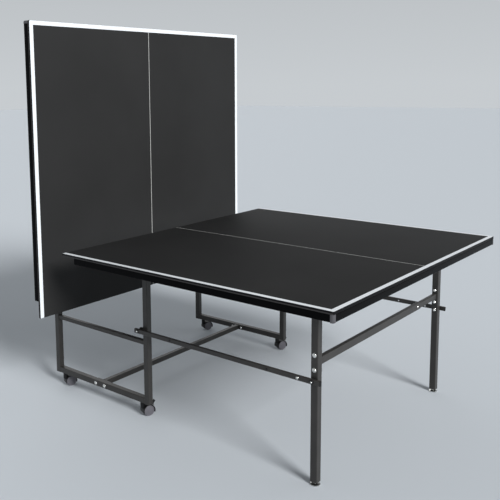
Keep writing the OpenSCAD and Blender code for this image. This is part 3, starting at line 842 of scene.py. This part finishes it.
def axle_of(name):
    """The place of a joint's axle: X trails away from the caster's stem, Y is the axle."""
    joint = JOINTS[name]
    axle = Vector(joint["axis"])
    trail = axle.cross(Z_AXIS)
    axes = Matrix((trail, axle, Z_AXIS)).transposed().to_4x4()
    return Matrix.Translation(joint["pos_m"]) @ axes


def make_wheels(side, end):
    """Twin wheels on one axle: a tread with soft shoulders, a rim, a dished face and a hub cap."""
    node = f"{side}_{end}_caster_wheels"
    wheels = Piece(WHEEL_GREY, ZINC)
    place = axle_of(node + "_roll")
    inner_face = 4.8
    tread = 25
    profile = [(0, 0), (tread - 4, 0), (tread, 0), (tread, 13.4), (tread - 3.4, 13.4)]
    profile += [(tread - 4.2, 12.9), (tread - 5, 13.2), (9, 15), (8, 14.7), (7.4, 15.1), (0, 15.2)]
    radii = [0, 0, 1.6, 2.2, 0.6, 0.2, 0.5, 1.2, 0.3, 0.4, 0]
    for turn in (0, math.pi):
        out = place @ Matrix.Rotation(turn, 4, "Z") @ along(Y_AXIS, (0, inner_face * MM, 0))
        smooth = rounded(profile, radii, closed=False, steps=4)
        wheels.lathe(in_mm(smooth), out, count=64)
    axle = [(0, -inner_face), (3, -inner_face), (3, inner_face), (0, inner_face)]
    wheels.lathe(in_mm(axle), place @ along(Y_AXIS), 1, count=24)
    wheels.finish(node + "_pair", node, "wheel_plastic", node)


def make_pedal(side):
    """A brake pedal with a ribbed tread and a turned-up lip."""
    node = side + "_brake_pedal"
    place = axle_of(node + "_hinge")
    leaf = place @ Matrix.Rotation(-PEDAL_DROP, 4, "Y")
    wide, long, thick = 9 * MM, 19 * MM, 1.2 * MM
    pedal = Piece(BLACK_PLASTIC, ZINC)

    def rod(radius, reach, edge, where, band, count):
        """A round bar along Y with softened ends."""
        profile = [(0, -reach), (radius, -reach), (radius, reach), (0, reach)]
        soft = rounded(profile, [0, edge, edge, 0], closed=False)
        pedal.lathe(soft, where @ along(Y_AXIS), band, count=count)

    rod(2.2 * MM, 12 * MM, 0.3 * MM, place, 1, 24)
    rod(2.9 * MM, wide, 0.5 * MM, place, 0, 28)
    pedal.block((1 * MM, -wide, -thick), (long, wide, thick), 0.6 * MM, leaf, corner=2 * MM)
    rib_half, rib_wide = wide - 1.5 * MM, 1.2 * MM
    for i in range(4):
        x = (6 + 3.2 * i) * MM
        high = (x + rib_wide, rib_half, thick * 1.5)
        pedal.block((x, -rib_half, thick * 0.5), high, 0.3 * MM, leaf)
    rod(1.7 * MM, wide, 0.5 * MM, leaf @ Matrix.Translation((long - 0.4 * MM, 0, 0)), 0, 20)
    pedal.finish(node + "_lever", node, "black_plastic", node)


# ---- Stage ----


def make_floor():
    """A plain pale floor that reaches past every view."""
    half_size = 40
    signs = ((-1, -1), (1, -1), (1, 1), (-1, 1))
    data = bpy.data.meshes.new("floor")
    data.from_pydata([(x * half_size, y * half_size, 0) for x, y in signs], [], [(0, 1, 2, 3)])
    made = bpy.data.objects.new("floor", data)
    bpy.context.scene.collection.objects.link(made)
    material = bpy.data.materials.new("pale_floor")
    material.use_nodes = True
    shader = material.node_tree.nodes["Principled BSDF"]
    shader.inputs["Base Color"].default_value = (0.62, 0.66, 0.7, 1)
    shader.inputs["Roughness"].default_value = 0.75
    shader.inputs["Specular IOR Level"].default_value = 0.2
    data.materials.append(material)


def make_light(name, direction, strength, angle):
    """A large, even light that shines from the direction."""
    light = bpy.data.lights.new(name, "SUN")
    light.energy = strength
    light.angle = math.radians(angle)
    made = bpy.data.objects.new(name, light)
    bpy.context.scene.collection.objects.link(made)
    made.rotation_mode = "QUATERNION"
    made.rotation_quaternion = Vector(direction).to_track_quat("Z", "Y")


def make_world():
    """A plain studio: pale where it meets the floor, and darker overhead."""
    world = bpy.data.worlds.new("studio")
    bpy.context.scene.world = world
    world.use_nodes = True
    tree = world.node_tree
    place = tree.nodes.new("ShaderNodeTexCoord").outputs["Generated"]
    split = tree.nodes.new("ShaderNodeSeparateXYZ")
    tree.links.new(place, split.inputs["Vector"])
    mixed = tree.nodes.new("ShaderNodeMix")
    mixed.data_type = "RGBA"
    mixed.inputs["A"].default_value = (0.57, 0.6, 0.625, 1)
    mixed.inputs["B"].default_value = (0.11, 0.115, 0.12, 1)
    tree.links.new(split.outputs["Z"], mixed.inputs["Factor"])
    tree.links.new(mixed.outputs["Result"], tree.nodes["Background"].inputs["Color"])


def make_camera():
    data = bpy.data.cameras.new("camera")
    camera = bpy.data.objects.new("camera", data)
    bpy.context.scene.collection.objects.link(camera)
    bpy.context.scene.camera = camera
    data.sensor_width = 36
    data.lens = 52.9
    data.shift_x, data.shift_y = 0.12, -0.138
    heading, tilt, roll = math.radians(40.81), math.radians(82.59), math.radians(-0.70)
    stand = Matrix.Translation((2.011, -2.817, 1.4965))
    turn = Matrix.Rotation(heading, 4, "Z") @ Matrix.Rotation(tilt, 4, "X")
    camera.matrix_world = stand @ turn @ Matrix.Rotation(roll, 4, "Z")


make_camera()
make_world()
make_floor()
make_light("key", (0.83, -0.23, 0.51), 3.2, 20)
make_light("fill", (0.68, 0.7, 0.22), 0.35, 60)
make_light("back", (-0.75, 0.45, 0.4), 0.4, 60)
bpy.context.scene.view_settings.view_transform = "Standard"
finish_frame()
for half in HALVES:
    make_board(half)
    make_aprons(half)
    make_rail_screws(half)
    make_leg_bolts(half)
    make_leg_plugs(half)
    for side in SIDES:
        make_leveller(half, side)
        make_link_fittings(half, side)
        make_hole_plugs(half, side)
make_base_bolts()
make_pivot_bolts()
make_post_caps()
make_welds()
for side in SIDES:
    make_pedal(side)
    for end in ("front", "rear"):
        make_wheels(side, end)
